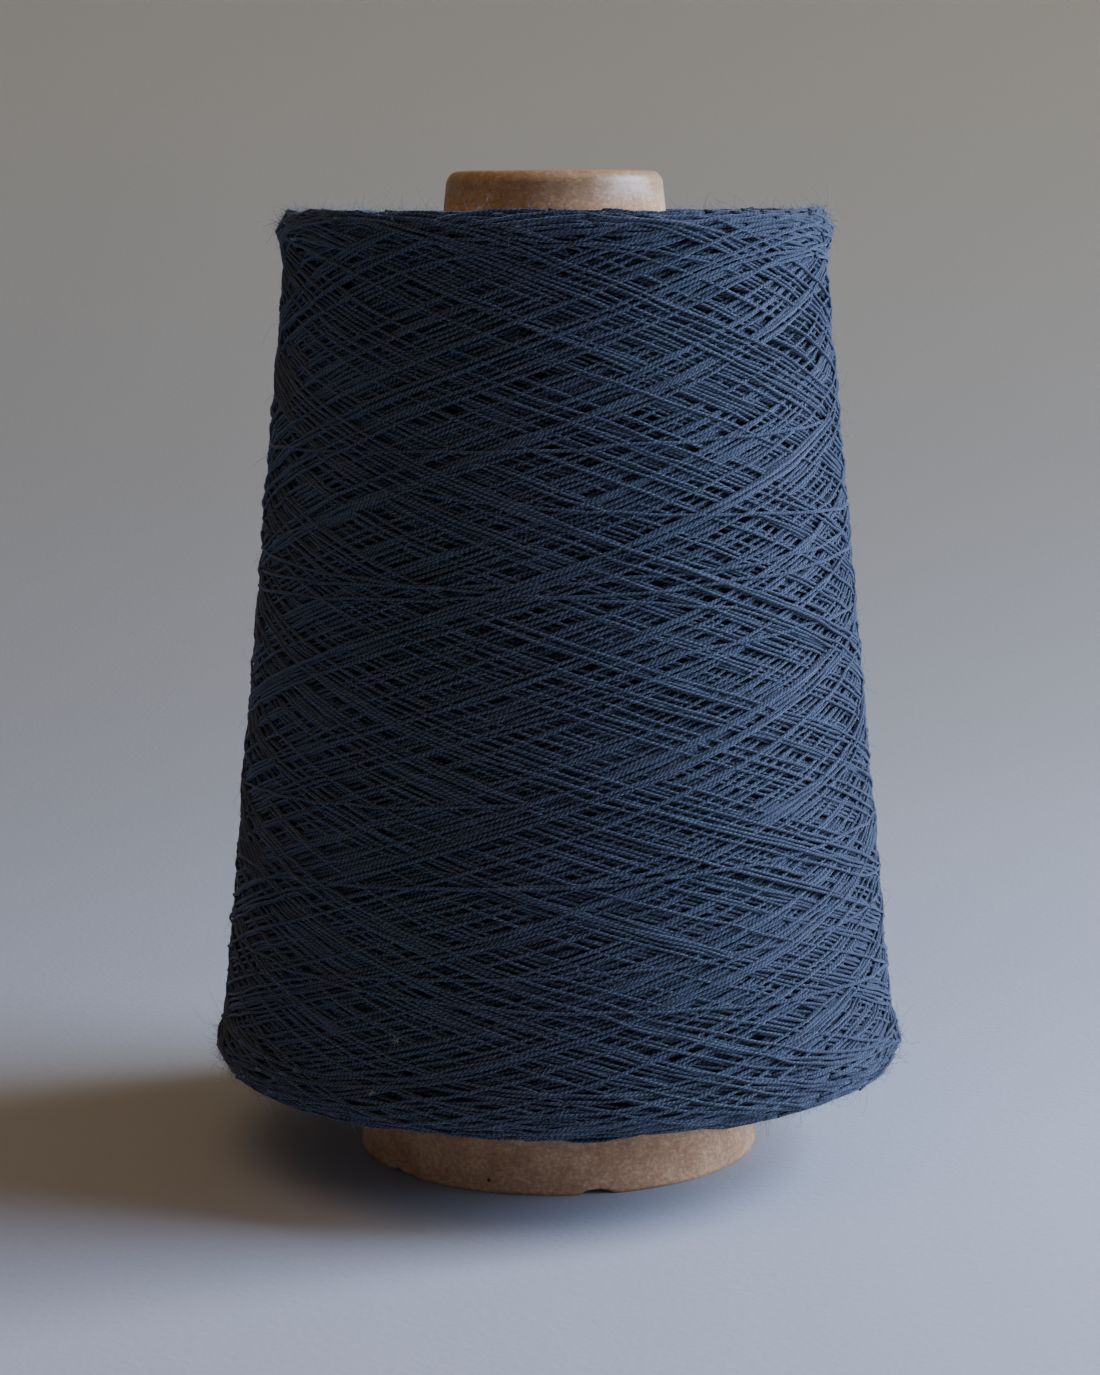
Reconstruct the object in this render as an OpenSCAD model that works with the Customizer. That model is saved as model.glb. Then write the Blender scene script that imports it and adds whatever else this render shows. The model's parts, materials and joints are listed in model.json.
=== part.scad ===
// Yarn cone: a rolled-nose paperboard cone, cross-wound with yarn.
// The cone stands on its base rim at z = 0, with its axis on Z and its nose up.
// Every section is drawn in the X-Z half plane and turned about the axis.

/* [Paper cone] */
// Length from the base rim to the top of the nose
cone_len = 170; // [120:1:250]
// Outer diameter of the base rim
base_d = 70; // [56:1:90]
// Diameter of the straight bore inside the rolled nose
nose_bore_d = 27.4; // [18:0.2:34]
// Length of the straight tuck below the nose roll
tuck_len = 5; // [2:0.5:10]
// Radius left open inside the nose roll
fold_r = 0.2; // [0.1:0.05:0.6]

/* [Board layers] */
// Thickness of the inner liner
liner_t = 0.4; // [0.2:0.05:0.8]
// Thickness of each of the three core layers
core_t = 0.45; // [0.3:0.05:0.8]
// Thickness of the outer finish layer
finish_t = 0.45; // [0.2:0.05:0.8]

/* [Yarn package] */
// Bare board between the base rim and the yarn, along the slope
bare_base = 14; // [6:0.5:30]
// Bare board between the yarn and the nose roll, along the slope
bare_nose = 7; // [4:0.5:20]
// Thickness of the wound yarn, square to the slope
build_t = 25.9; // [12:0.1:45]
// Thickness of the first crossings on the board
first_t = 1; // [0.6:0.1:2]
// Thickness of the last crossings, at the surface
surface_t = 1.2; // [0.6:0.1:2]

/* [Package ends] */
// Rise of the lip at the base end above the package surface
base_lip = 1.1; // [0:0.1:2.5]
// Rise of the lip at the nose end above the package surface
nose_lip = 1.8; // [0:0.1:2.5]
// Rounding radius of the shoulder at the base end
base_shoulder_r = 3.7; // [3:0.1:5]
// Rounding radius of the shoulder at the nose end
nose_shoulder_r = 3; // [3:0.1:5]
// Length over which each lip dies away
lip_len = 9; // [8:0.5:16]

/* [Hidden] */
$fn = 120;

liner_colour = "#8c6d52";
core_colour = "#7a5f48";
finish_colour = "#a88668";
deep_yarn_colour = "#18223a";
yarn_colour = "#263653";

// Overlap that joins two drawn pieces of one section
seam = 0.01;

// The wall, from the outside inwards
core_layers = 3;
wall_t = finish_t + core_layers * core_t + liner_t;
base_r = base_d / 2;

// The nose rolls inwards about this point, and ends as a straight bore
roll_r = fold_r + wall_t;
roll_x = nose_bore_d / 2 + roll_r;
roll_z = cone_len - roll_r;

// The slope is the line from the rim that just touches the roll
run = base_r - roll_x;
reach = norm([run, roll_z]);
half_angle = atan2(run, roll_z) - asin(roll_r / reach);
slope_len = sqrt(reach * reach - roll_r * roll_r);

// The package, measured along the slope (t) and square to it (n)
t_start = bare_base;
t_end = slope_len - bare_nose;
winding_count = 6;
winding_t = (build_t - first_t - surface_t) / winding_count;
base_round = [build_t + base_lip - base_shoulder_r, t_start + base_shoulder_r];
nose_round = [build_t + nose_lip - nose_shoulder_r, t_end - nose_shoulder_r];
base_lip_foot = [build_t, t_start + lip_len];
nose_lip_foot = [build_t, t_end - lip_len];

// Point where the line from p touches the circle of radius r about c; side is 1 or -1
function touch(p, c, r, side) =
    let (away = p - c, turn = atan2(away.y, away.x) + side * acos(r / norm(away)))
    c + r * [cos(turn), sin(turn)];

// Draws its children with x square to the slope and y up the slope, from the base rim
module on_slope() {
    translate([base_r, 0]) rotate(half_angle) children();
}

// Section of the board between two depths below the outer surface
module board_section(outer, inner) {
    // Straight wall, cut level at the base rim
    intersection() {
        on_slope() translate([-inner, -base_r]) square([inner - outer, base_r + slope_len + seam]);
        square([2 * base_r, cone_len]);
    }
    // Roll, from the wall over the top to the bore
    translate([roll_x, roll_z]) difference() {
        circle(r = roll_r - outer);
        circle(r = roll_r - inner);
        polygon([
            [0, 0], [-cone_len, 0], [-cone_len, -cone_len], [cone_len, -cone_len],
            [cone_len, cone_len * tan(half_angle)]
        ]);
    }
    // Tuck, straight down inside the nose
    translate([roll_x - roll_r + outer, roll_z - tuck_len]) square([inner - outer, tuck_len + seam]);
}

// One layer of board, turned about the axis
module board_layer(outer, inner) {
    rotate_extrude() board_section(outer, inner);
}

// Outline of the whole package, in slope coordinates
module package_outline() {
    polygon([
        [0, t_start], [base_round.x, t_start], base_round,
        touch(base_lip_foot, base_round, base_shoulder_r, -1), base_lip_foot,
        nose_lip_foot, touch(nose_lip_foot, nose_round, nose_shoulder_r, 1),
        nose_round, [nose_round.x, t_end], [0, t_end]
    ]);
    translate(base_round) circle(r = base_shoulder_r);
    translate(nose_round) circle(r = nose_shoulder_r);
}

// The part of the package between two heights above the board
module yarn_layer(from, to) {
    rotate_extrude() on_slope() intersection() {
        package_outline();
        translate([from, 0]) square([to - from, cone_len]);
    }
}

module liner_ply() {
    color(liner_colour) board_layer(wall_t - liner_t, wall_t);
}

// Core layers are numbered from the outside: 0 under the finish layer, 2 on the liner
module core_ply(index) {
    color(core_colour) board_layer(finish_t + index * core_t, finish_t + (index + 1) * core_t);
}

module finish_ply() {
    color(finish_colour) board_layer(0, finish_t);
}

module first_wraps() {
    color(deep_yarn_colour) yarn_layer(0, first_t);
}

// Windings are numbered from the inside
module winding(index) {
    color(deep_yarn_colour)
        yarn_layer(first_t + (index - 1) * winding_t, first_t + index * winding_t);
}

module surface_wraps() {
    color(yarn_colour) yarn_layer(build_t - surface_t, build_t + base_lip + nose_lip);
}

liner_ply();
core_ply(2);  // core_ply_inner
core_ply(1);  // core_ply_middle
core_ply(0);  // core_ply_outer
finish_ply();
first_wraps();
winding(1);  // winding_1
winding(2);  // winding_2
winding(3);  // winding_3
winding(4);  // winding_4
winding(5);  // winding_5
winding(6);  // winding_6
surface_wraps();
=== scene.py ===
"""Builds the looks of a yarn cone: a rolled-nose paperboard cone, cross-wound with navy cotton yarn.

The yarn is laid the way a winding machine lays it. One coil after another is dropped on a height map
of the package, where it bridges the gaps between the coils below as a taut string does, and only
what can be seen in the end becomes mesh. The board is five layers that are rolled in at the nose.
"""

import json
import logging
import math
from dataclasses import dataclass
from enum import Enum

import bpy
import numpy as np
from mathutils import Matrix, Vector


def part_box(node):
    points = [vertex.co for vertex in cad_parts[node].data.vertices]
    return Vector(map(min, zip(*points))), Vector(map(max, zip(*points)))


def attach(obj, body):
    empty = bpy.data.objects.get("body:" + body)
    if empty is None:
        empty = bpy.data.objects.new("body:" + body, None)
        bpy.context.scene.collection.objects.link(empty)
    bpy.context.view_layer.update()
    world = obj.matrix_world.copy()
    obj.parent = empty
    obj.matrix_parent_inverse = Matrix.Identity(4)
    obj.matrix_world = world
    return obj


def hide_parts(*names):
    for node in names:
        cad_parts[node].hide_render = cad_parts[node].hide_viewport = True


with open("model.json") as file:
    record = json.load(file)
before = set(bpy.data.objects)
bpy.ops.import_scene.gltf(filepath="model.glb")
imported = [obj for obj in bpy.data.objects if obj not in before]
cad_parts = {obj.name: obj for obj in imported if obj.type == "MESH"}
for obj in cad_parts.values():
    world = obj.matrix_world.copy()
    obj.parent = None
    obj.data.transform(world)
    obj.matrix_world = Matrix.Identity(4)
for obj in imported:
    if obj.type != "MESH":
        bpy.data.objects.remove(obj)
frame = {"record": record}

LOG = logging.getLogger("yarn_cone")
MM = 0.001
SEED = 1707
GOLDEN_SHARE = 0.61803
GOLDEN_ANGLE = 2.39996
ROOT = "root"
BOARD_PLIES = ("finish_ply", "core_ply_outer", "core_ply_middle", "core_ply_inner", "liner_ply")
WINDINGS = ("first_wraps",) + tuple(f"winding_{number}" for number in range(1, 7))

Array = np.ndarray
Tree = bpy.types.NodeTree
Socket = bpy.types.NodeSocket


# ---------------------------------------------------------------------------------------------
# Small helpers
# ---------------------------------------------------------------------------------------------


def linear(hex_colour: str) -> tuple[float, float, float, float]:
    """Turns an sRGB hex colour, such as "#1f2a3c", to linear red, green and blue with an alpha of 1.

    Args:
        hex_colour: Seven characters, a hash and six hex digits.

    Returns:
        The colour as a shader socket takes it.
    """
    parts = [int(hex_colour[i : i + 2], 16) / 255 for i in (1, 3, 5)]
    red, green, blue = (p / 12.92 if p <= 0.04045 else ((p + 0.055) / 1.055) ** 2.4 for p in parts)
    return (red, green, blue, 1.0)


def add_object(name: str, data: bpy.types.ID) -> bpy.types.Object:
    """Adds an object that shows this mesh, light or camera to the scene."""
    added = bpy.data.objects.new(name, data)
    bpy.context.scene.collection.objects.link(added)
    return added


def new_material(name: str) -> tuple[bpy.types.Material, Tree, bpy.types.Node]:
    """Starts a material, and gives it with its node tree and its shader."""
    material = bpy.data.materials.new(name)
    material.use_nodes = True
    return material, material.node_tree, material.node_tree.nodes["Principled BSDF"]


def wire(tree: Tree, node: bpy.types.Node, inputs: dict) -> None:
    """Fills a node's inputs, by name or index: a socket is linked, anything else is a constant."""
    for socket, value in inputs.items():
        if isinstance(value, Socket):
            tree.links.new(value, node.inputs[socket])
        else:
            node.inputs[socket].default_value = value


def add_node(tree: Tree, kind: str, inputs: dict | None = None, **settings) -> bpy.types.Node:
    """Adds a shader node, sets it up and links it.

    Args:
        tree: The material's node tree.
        kind: The node's type name.
        inputs: Socket name or index to a value, or to another node's output socket.
        **settings: The node's own properties.

    Returns:
        The new node.
    """
    node = tree.nodes.new(kind)
    for name, value in settings.items():
        setattr(node, name, value)
    wire(tree, node, inputs or {})
    return node


def multiply_add(tree: Tree, value: Socket, factor: float, addend: Socket | float = 0.0) -> Socket:
    """A number times a factor, plus another number."""
    inputs = {0: value, 1: factor, 2: addend}
    return add_node(tree, "ShaderNodeMath", inputs, operation="MULTIPLY_ADD").outputs[0]


def noise(tree: Tree, where: Socket, **inputs: float) -> Socket:
    """Cloudy noise at a place; its inputs are Scale, Detail, Roughness and Distortion."""
    return add_node(tree, "ShaderNodeTexNoise", {"Vector": where, **inputs}).outputs["Fac"]


def mix(tree: Tree, share: Socket, first: Socket, second: tuple, blend: str = "MIX") -> Socket:
    """A colour with a share of a second colour blended in."""
    inputs = {"Factor": share, 6: first, 7: second}
    return add_node(tree, "ShaderNodeMix", inputs, data_type="RGBA", blend_type=blend).outputs[2]


def bump(tree: Tree, height: Socket, strength: float, distance: float) -> Socket:
    """The normal of a surface with that fine relief."""
    inputs = {"Height": height, "Strength": strength, "Distance": distance}
    return add_node(tree, "ShaderNodeBump", inputs).outputs[0]


def ramp(tree: Tree, factor: Socket, stops: list[tuple[float, tuple]]) -> Socket:
    """Maps a number to a colour by straight lines between stops.

    Args:
        tree: The material's node tree.
        factor: The number to map, 0 to 1.
        stops: Position and linear colour of each stop, in order.

    Returns:
        The colour output.
    """
    node = add_node(tree, "ShaderNodeValToRGB", {"Fac": factor})
    band = node.color_ramp
    while len(band.elements) < len(stops):
        band.elements.new(0.5)
    for element, (position, colour) in zip(band.elements, stops):
        element.position = position
        element.color = colour
    return node.outputs["Color"]


def spokes(count: int) -> Array:
    """Angles spread evenly round a circle, the first at zero."""
    return np.arange(count) * (2 * math.pi / count)


def around(r: Array, turn: Array, z: Array) -> Array:
    """Points in space from their distance from the axis, angle about it and height."""
    x, y = r * np.cos(turn), r * np.sin(turn)
    return np.stack((x, y, np.broadcast_to(z, x.shape)), axis=-1)


def smooth_noise(rng: np.random.Generator, size: int, reach: float, wrap: bool = True) -> Array:
    """Random numbers blurred by a bell curve, scaled to a spread of one.

    Args:
        rng: Where the random numbers come from.
        size: How many numbers.
        reach: The bell curve's standard deviation, in samples.
        wrap: True if the last number is next to the first.

    Returns:
        One array of size numbers with mean 0 and standard deviation 1.
    """
    frequency = np.fft.rfftfreq(size if wrap else 2 * size)
    keep = np.exp(-2 * (math.pi * reach * frequency) ** 2)
    values = np.fft.irfft(np.fft.rfft(rng.normal(size=size if wrap else 2 * size)) * keep)[:size]
    return (values - values.mean()) / max(values.std(), 1e-12)


def blur(values: Array, reach: float) -> Array:
    """Blurs one row of numbers by a bell curve of that standard deviation, holding the ends."""
    half = max(1, int(3 * reach))
    kernel = np.exp(-0.5 * (np.arange(-half, half + 1) / max(reach, 1e-6)) ** 2)
    padded = np.concatenate((np.full(half, values[0]), values, np.full(half, values[-1])))
    return np.convolve(padded, kernel / kernel.sum(), mode="valid")


@dataclass
class MeshParts:
    """The arrays of one mesh: points, faces, a UV for each face corner, and a height for each point."""

    points: Array
    quads: Array
    caps: list[Array]
    quad_uv: Array | None = None
    heights: Array | None = None

    def make(self, name: str, material: bpy.types.Material) -> bpy.types.Object:
        """Makes an object at the origin from the arrays.

        Args:
            name: The piece's name.
            material: Its one material.

        Returns:
            The linked object.
        """
        mesh = bpy.data.meshes.new(name)
        cap_sides = [np.full(len(cap), cap.shape[1]) for cap in self.caps]
        sides = np.concatenate([np.full(len(self.quads), 4)] + cap_sides).astype(np.int32)
        corners = np.concatenate([self.quads.ravel()] + [cap.ravel() for cap in self.caps]).astype(np.int32)
        starts = np.concatenate(([0], np.cumsum(sides)[:-1])).astype(np.int32)
        mesh.vertices.add(len(self.points))
        mesh.vertices.foreach_set("co", self.points.astype(np.float32).ravel())
        mesh.loops.add(len(corners))
        mesh.loops.foreach_set("vertex_index", corners)
        mesh.polygons.add(len(sides))
        mesh.polygons.foreach_set("loop_start", starts)
        mesh.polygons.foreach_set("use_smooth", np.ones(len(sides), bool))
        if self.quad_uv is not None:
            uv = np.zeros((len(corners), 2), np.float32)
            uv[: self.quads.size] = self.quad_uv.reshape(-1, 2)
            mesh.uv_layers.new(name="Along").data.foreach_set("uv", uv.ravel())
        # Each point's height, from which the yarn material paints shade on coils that lie low.
        if self.heights is not None:
            raised = mesh.attributes.new("height", "FLOAT", "POINT")
            raised.data.foreach_set("value", self.heights.astype(np.float32))
        mesh.materials.append(material)
        mesh.update(calc_edges=True)
        mesh.validate()
        return add_object(name, mesh)


def place(piece: bpy.types.Object, slot: str, *nodes: str) -> None:
    """Rides a piece on the one body, and hides the nodes it stands for."""
    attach(piece, ROOT)
    if nodes:
        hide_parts(*nodes)
    piece.data.calc_loop_triangles()
    LOG.info("%s: %d triangles", piece.name, len(piece.data.loop_triangles))


# ---------------------------------------------------------------------------------------------
# Sizes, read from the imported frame
# ---------------------------------------------------------------------------------------------


@dataclass(frozen=True)
class ConeSizes:
    """The paper cone's own sizes, and the slope coordinates that everything is drawn in.

    A place on the half section is n, square to the slope and above the board, and s, up the slope
    from the base rim.
    """

    length: float
    base_r: float
    bore_r: float
    roll_r: float
    tuck: float
    ply_depths: tuple[float, ...]

    @classmethod
    def from_frame(cls) -> "ConeSizes":
        """Reads the sizes from the boxes of the board layers and the nose's mount.

        Returns:
            The cone's sizes in metres.
        """
        low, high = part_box("finish_ply")
        bore = next(m for m in frame["record"]["mounts"] if m["name"] == "nose_bore")
        depths = [high[2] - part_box(node)[1][2] for node in BOARD_PLIES]
        liner = 0.4 * MM
        fold = 0.2 * MM
        return cls(
            length=high[2],
            base_r=high[0],
            bore_r=bore["dims"]["r_mm"] * MM,
            roll_r=depths[-1] + liner + fold,
            tuck=bore["dims"]["length_mm"] * MM,
            ply_depths=(*depths, depths[-1] + liner),
        )

    @property
    def roll_x(self) -> float:
        """Distance of the nose roll's centre from the axis."""
        return self.bore_r + self.roll_r

    @property
    def roll_z(self) -> float:
        """Height of the nose roll's centre."""
        return self.length - self.roll_r

    @property
    def half_angle(self) -> float:
        """Angle between the slope and the axis: the line from the rim that just touches the roll."""
        run = self.base_r - self.roll_x
        return math.atan2(run, self.roll_z) - math.asin(self.roll_r / math.hypot(run, self.roll_z))

    @property
    def slope_length(self) -> float:
        """Length of the slope from the base rim to where the roll begins."""
        return math.sqrt((self.base_r - self.roll_x) ** 2 + self.roll_z**2 - self.roll_r**2)

    def place(self, n: Array, s: Array) -> tuple[Array, Array]:
        """Radius and height of points in slope coordinates.

        Args:
            n: Height above the board.
            s: Distance up the slope.

        Returns:
            Distance from the axis, and height above the base rim.
        """
        lean, rise = math.sin(self.half_angle), math.cos(self.half_angle)
        return self.base_r - s * lean + n * rise, s * rise + n * lean


@dataclass(frozen=True)
class PackageSizes:
    """The yarn package in slope coordinates: its ends, its thickness and its raised lips."""

    start: float
    end: float
    build: float
    base_lip: float = 1.1 * MM
    nose_lip: float = 1.8 * MM
    base_round: float = 3.7 * MM
    nose_round: float = 3.0 * MM
    lip_length: float = 9.0 * MM

    @classmethod
    def from_frame(cls, cone: ConeSizes) -> "PackageSizes":
        """Reads the package's ends and thickness from the boxes of its first and last wraps.

        Args:
            cone: The paper cone that it is wound on.

        Returns:
            The package's sizes in metres.
        """
        lean, rise = math.sin(cone.half_angle), math.cos(cone.half_angle)
        low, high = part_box("first_wraps")
        first = (high[0] - cone.base_r + low[2] / rise * lean) / rise
        start = low[2] / rise
        end = (high[2] - first * lean) / rise
        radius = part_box("surface_wraps")[1][0]
        lip = (radius - cone.base_r + (start + cls.base_round) * lean) / rise
        lip += (1 / rise - 1) * cls.base_round
        return cls(start=start, end=end, build=lip - cls.base_lip)


class Outline:
    """The package's half section as one curve, from the board out over both ends.

    The curve runs out along the base end, round its shoulder, up the side with its two lips, round
    the nose shoulder and back in along the nose end. q is the distance along it.
    """

    STEP = 0.25 * MM
    SOFTEN = 0.7 * MM
    ARC_POINTS = 24

    def __init__(self, cone: ConeSizes, sizes: PackageSizes) -> None:
        """Works out the curve.

        Args:
            cone: Gives the slope coordinates.
            sizes: The package's sizes.
        """
        self.cone = cone
        self.sizes = sizes
        base_centre = (sizes.build + sizes.base_lip - sizes.base_round, sizes.start + sizes.base_round)
        nose_centre = (sizes.build + sizes.nose_lip - sizes.nose_round, sizes.end - sizes.nose_round)
        base_foot = (sizes.build, sizes.start + sizes.lip_length)
        nose_foot = (sizes.build, sizes.end - sizes.lip_length)
        base_turn = self._touch(base_foot, base_centre, sizes.base_round, -1)
        nose_turn = self._touch(nose_foot, nose_centre, sizes.nose_round, 1)
        base_arc = self._arc(base_centre, sizes.base_round, -math.pi / 2, base_turn)
        nose_arc = self._arc(nose_centre, sizes.nose_round, nose_turn, math.pi / 2)
        corners = np.concatenate(
            ([(0.0, sizes.start)], base_arc, [base_foot, nose_foot], nose_arc, [(0.0, sizes.end)])
        )
        along = np.concatenate(([0.0], np.cumsum(np.hypot(*np.diff(corners, axis=0).T))))
        self.length = float(along[-1])
        self.q = np.linspace(0.0, self.length, int(self.length / self.STEP) + 1)
        reach = self.SOFTEN / self.STEP
        self.n = blur(np.interp(self.q, along, corners[:, 0]), reach)
        self.s = blur(np.interp(self.q, along, corners[:, 1]), reach)
        self.n[:3], self.n[-3:] = 0.0, 0.0
        slope_n, slope_s = np.gradient(self.n), np.gradient(self.s)
        size = np.maximum(np.hypot(slope_n, slope_s), 1e-12)
        self.out_n, self.out_s = slope_s / size, -slope_n / size
        self.base_shoulder = float(along[len(base_arc) // 2 + 1])
        self.nose_shoulder = float(along[-2 - len(nose_arc) // 2])
        self.base_edge = float(along[1])
        self.nose_edge = float(along[-2])

    @staticmethod
    def _touch(point: tuple, centre: tuple, radius: float, side: int) -> float:
        """Angle on a circle where the line from a point touches it, on one side or the other."""
        away = (point[0] - centre[0], point[1] - centre[1])
        return math.atan2(away[1], away[0]) + side * math.acos(radius / math.hypot(*away))

    @classmethod
    def _arc(cls, centre: tuple, radius: float, start: float, end: float) -> Array:
        """Points on a circle between two angles: centre plus radius times cosine and sine."""
        turn = np.linspace(start, end, cls.ARC_POINTS)
        return np.stack((centre[0] + radius * np.cos(turn), centre[1] + radius * np.sin(turn)), axis=1)

    def radius(self, q: Array) -> Array:
        """Distance from the axis at q."""
        r, _ = self.cone.place(np.interp(q, self.q, self.n), np.interp(q, self.q, self.s))
        return r

    def points(self, q: Array, turn: Array, height: Array) -> tuple[Array, Array]:
        """Places in space of points above the curve.

        Args:
            q: Distance along the curve.
            turn: Angle about the axis.
            height: How far outside the curve, square to it.

        Returns:
            The points, and the outward directions there.
        """
        n, s = np.interp(q, self.q, self.n), np.interp(q, self.q, self.s)
        out_n, out_s = np.interp(q, self.q, self.out_n), np.interp(q, self.q, self.out_s)
        r, z = self.cone.place(n + out_n * height, s + out_s * height)
        lean, rise = math.sin(self.cone.half_angle), math.cos(self.cone.half_angle)
        out_r, out_z = out_n * rise - out_s * lean, out_s * rise + out_n * lean
        return around(r, turn, z), around(out_r, turn, out_z)


# ---------------------------------------------------------------------------------------------
# Winding
# ---------------------------------------------------------------------------------------------


class Twist(Enum):
    """Which way the plies are twisted: the middle stroke of the letter shows the slope."""

    S = 1
    Z = -1


class End(Enum):
    """The two ends of the package."""

    BASE = "base"
    NOSE = "nose"


@dataclass
class Coil:
    """One laid length of yarn: where its centre line runs, and how far along the yarn it lies."""

    q: Array
    turn: Array
    height: Array
    along: Array

    def pick(self, picks: Array) -> "Coil":
        """The coil at some of its points."""
        return Coil(self.q[picks], self.turn[picks], self.height[picks], self.along[picks])


@dataclass(frozen=True)
class YarnSizes:
    """The yarn's cross section, flattened a little by the winding tension."""

    half_width: float = 0.265 * MM
    half_height: float = 0.235 * MM
    ply_pitch: float = 1.7 * MM
    twist: Twist = Twist.Z
    sides: int = 5
    step: float = 2.3 * MM
    squeeze: float = 0.66


class Winder:
    """Lays coils of yarn on a height map of the package, and remembers where each one lies.

    Attributes:
        STEP: Distance between the points of a coil as it is laid.
        COLUMNS: Cells of the map round the axis. Its rows are the outline's own steps.
        UNEVEN: Spread of the heights that the winding starts on.
        REACH: How far along itself a taut coil is held up by what it crosses.
        PROBE: How far to each side a coil feels for lower ground.
        SLIDE: How far it slides down a slope that it feels, as a share of the fall.
        SLIP: The most that it slides.
        PRESS: Breadth below which a hill keeps its height when the package is pressed.
        PRESSED: Share of a broader hill that is pressed in.
        PEEP: Cells from which a low place beside a coil can show it.
        SHADE: How far a coil's top can lie below the lowest place beside it and still be seen.
        SUNK: How far the finished surface lies inside the outline on average.
        BODY: How far the body of inner windings lies inside the outline.
    """

    STEP = 0.5 * MM
    COLUMNS = 1500
    UNEVEN = 0.06 * MM
    REACH = 9.0 * MM
    PROBE = 0.2 * MM
    SLIDE = 0.6
    SLIP = 0.4 * MM
    PRESS = 2.0 * MM
    PRESSED = 0.75
    PEEP = 3
    SHADE = 0.05 * MM
    SUNK = 0.4 * MM
    BODY = 1.5 * MM

    def __init__(self, outline: Outline, yarn: YarnSizes, rng: np.random.Generator) -> None:
        """Starts with a slightly uneven surface.

        Args:
            outline: The finished package's section.
            yarn: The yarn's sizes.
            rng: Where the random numbers come from.
        """
        self.outline = outline
        self.yarn = yarn
        self.rng = rng
        self.rows = len(outline.q)
        self.row_radius = outline.radius(outline.q)
        hills = smooth_noise(rng, self.rows, 30, wrap=False)[:, None]
        self.height = self.UNEVEN * (hills * smooth_noise(rng, self.COLUMNS, 60)[None])
        self.lowest = self.height
        self.coils: list[Coil] = []

    def cells(self, q: Array, turn: Array) -> Array:
        """Index of the height map's cell at each place."""
        row = np.clip(np.rint(q / Outline.STEP).astype(int), 0, self.rows - 1)
        column = np.rint(turn * (self.COLUMNS / (2 * math.pi))).astype(int) % self.COLUMNS
        return row * self.COLUMNS + column

    def _sideways(self, q: Array, turn: Array) -> tuple[Array, Array]:
        """The direction square to a path on the surface, in q and in turn."""
        radius = np.interp(q, self.outline.q, self.row_radius)
        along_q, along_turn = np.gradient(q), np.gradient(turn) * radius
        size = np.hypot(along_q, along_turn)
        return -along_turn / size, along_q / size / radius

    def _resting(self, q: Array, turn: Array, side_q: Array, side_turn: Array) -> Array:
        """Height at which the yarn's underside rests, from the map under its width."""
        flat = self.height.ravel()
        best = np.full(len(q), -1.0)
        for share in (-0.8, -0.4, 0.0, 0.4, 0.8):
            off = share * self.yarn.half_width
            dip = self.yarn.half_height * (1 - math.sqrt(1 - share**2))
            best = np.maximum(best, flat[self.cells(q + off * side_q, turn + off * side_turn)] - dip)
        return best

    def _taut(self, height: Array, radius: float) -> Array:
        """The taut string over a row of heights, on a surface of that radius of curvature.

        A straight stretch rises above a round surface as distance squared over twice the radius, so
        the string is the lowest curve above the heights made of such parabolas.
        """
        reach = int(self.REACH / self.STEP)
        padded = np.pad(height, reach, constant_values=-1.0)
        size = len(height)
        lowest = np.full(size, -1.0)
        for k in range(-reach, reach + 1):
            bend = (k * self.STEP) ** 2 / (2 * radius)
            lowest = np.maximum(lowest, padded[reach + k : reach + k + size] - bend)
        padded = np.pad(lowest, reach, constant_values=1.0)
        string = np.full(size, 1.0)
        for k in range(-reach, reach + 1):
            bend = (k * self.STEP) ** 2 / (2 * radius)
            string = np.minimum(string, padded[reach + k : reach + k + size] + bend)
        return string

    def _stamp(self, q: Array, turn: Array, top: Array, side_q: Array, side_turn: Array) -> None:
        """Raises the height map to the yarn's round top, its edges first so that its crown wins."""
        flat = self.height.ravel()
        for share in (-0.95, 0.95, -0.65, 0.65, -0.33, 0.33, 0.0):
            off = share * self.yarn.half_width
            drop = self.yarn.half_height * (1 - math.sqrt(1 - share**2))
            cells = self.cells(q + off * side_q, turn + off * side_turn)
            flat[cells] = np.maximum(flat[cells], top - drop)

    def lay(self, q: Array, turn: Array, along: Array, radius: float, sink: Array | float = 0.0) -> None:
        """Lays one length of yarn and adds it to the coils.

        Args:
            q: Its wanted path along the section.
            turn: Its angle about the axis, at the same points, a step apart.
            along: Distance along the yarn at those points.
            radius: The surface's radius of curvature along the path.
            sink: How far the yarn dives below the surface, at those points.
        """
        side_q, side_turn = self._sideways(q, turn)
        slide = np.zeros(len(q))
        for _ in range(2):
            left, right = (
                self._resting(q + (slide + off) * side_q, turn + (slide + off) * side_turn, side_q, side_turn)
                for off in (-self.PROBE, self.PROBE)
            )
            slide = np.clip(slide - self.SLIDE * blur(right - left, 5.0), -self.SLIP, self.SLIP)
        q, turn = q + slide * side_q, turn + slide * side_turn
        rest = self._resting(q, turn, side_q, side_turn) - sink
        base = blur(self._taut(rest, radius), 0.8)
        top = base + 2 * self.yarn.half_height * self.yarn.squeeze
        self._stamp(q, turn, top, side_q, side_turn)
        self.coils.append(Coil(q, turn, base + self.yarn.half_height, along))

    def _broad(self, values: Array, reach: float) -> Array:
        """A map blurred by a bell curve with that standard deviation, in cells, wrapping round."""
        rows = np.fft.fftfreq(self.rows)[:, None]
        columns = np.fft.rfftfreq(self.COLUMNS)[None]
        keep = np.exp(-2 * (math.pi * reach) ** 2 * (rows**2 + columns**2))
        return np.fft.irfft2(np.fft.rfft2(values) * keep, s=values.shape)

    def _lower(self, drop: Array) -> None:
        """Lowers the map and every coil by a map of drops."""
        self.height -= drop
        for coil in self.coils:
            coil.height -= drop.ravel()[self.cells(coil.q, coil.turn)]

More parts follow.
